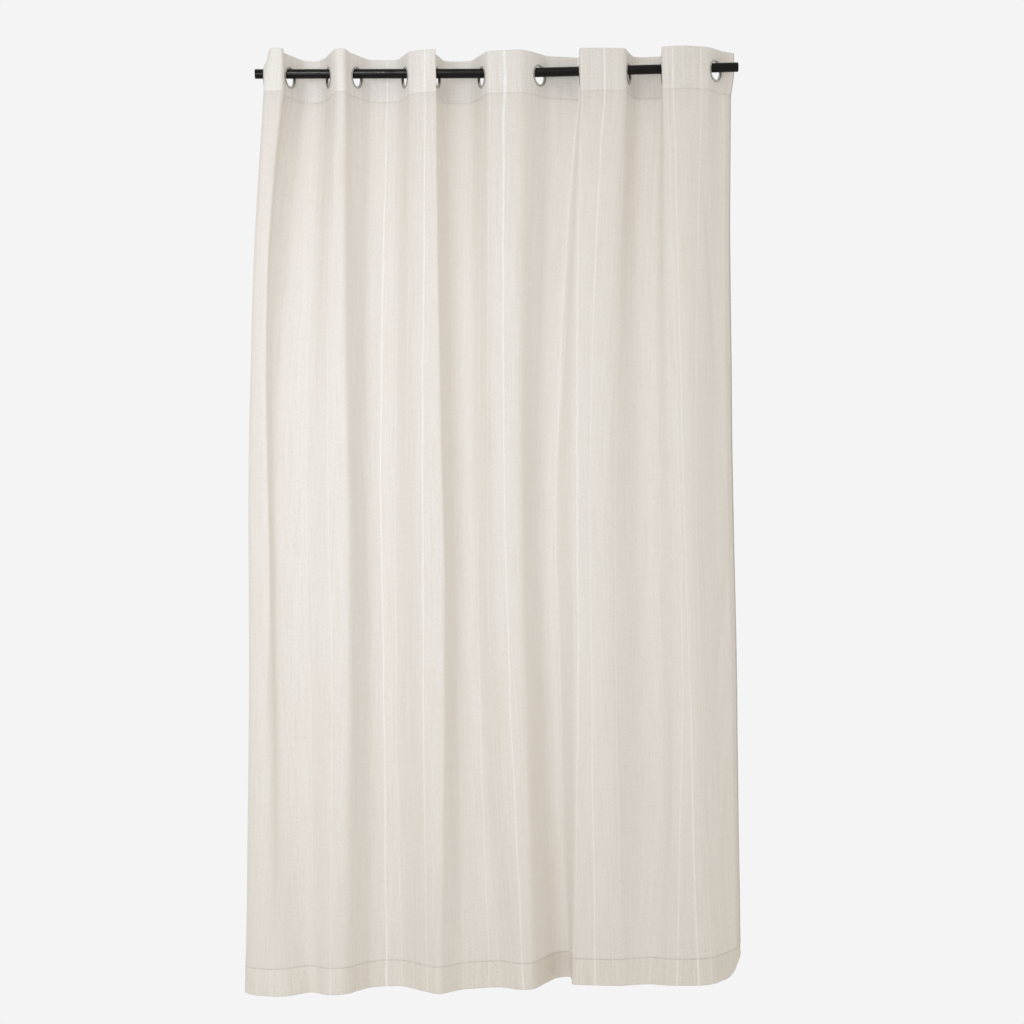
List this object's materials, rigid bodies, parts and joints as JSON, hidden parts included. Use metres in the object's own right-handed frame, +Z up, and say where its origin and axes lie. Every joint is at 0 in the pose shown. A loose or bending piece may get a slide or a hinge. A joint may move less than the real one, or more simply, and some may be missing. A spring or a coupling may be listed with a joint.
{
  "type": "eyelet-top sheer voile curtain on a curtain rod",
  "caption": "Semi-sheer eyelet-top curtain panel in deep uneven folds, hanging on a plain round rod that runs through metal eyelets.",
  "frame": {"origin": "on the rod's axis at the middle of its length", "axes": "+X along the rod to the right of someone facing the curtain, -Y towards that person, +Z up"},
  "size_m": [1.1731, 0.2033, 2.1372],
  "materials": {
    "sheer_cloth": "semi-sheer off-white woven cloth with fine slubs",
    "eyelet_metal": "dull grey plated eyelet",
    "black_rod": "black satin paint"
  },
  "bodies": {
    "root": {"curtain_panel": "sheer_cloth", "rod": "black_rod", "eyelet_01": "eyelet_metal", "eyelet_02": "eyelet_metal", "eyelet_03": "eyelet_metal", "eyelet_04": "eyelet_metal", "eyelet_05": "eyelet_metal", "eyelet_06": "eyelet_metal", "eyelet_07": "eyelet_metal", "eyelet_08": "eyelet_metal", "eyelet_09": "eyelet_metal", "eyelet_10": "eyelet_metal", "eyelet_11": "eyelet_metal", "eyelet_12": "eyelet_metal", "washer_01": "eyelet_metal", "washer_02": "eyelet_metal", "washer_03": "eyelet_metal", "washer_04": "eyelet_metal", "washer_05": "eyelet_metal", "washer_06": "eyelet_metal", "washer_07": "eyelet_metal", "washer_08": "eyelet_metal", "washer_09": "eyelet_metal", "washer_10": "eyelet_metal", "washer_11": "eyelet_metal", "washer_12": "eyelet_metal"}
  },
  "joints": []
}
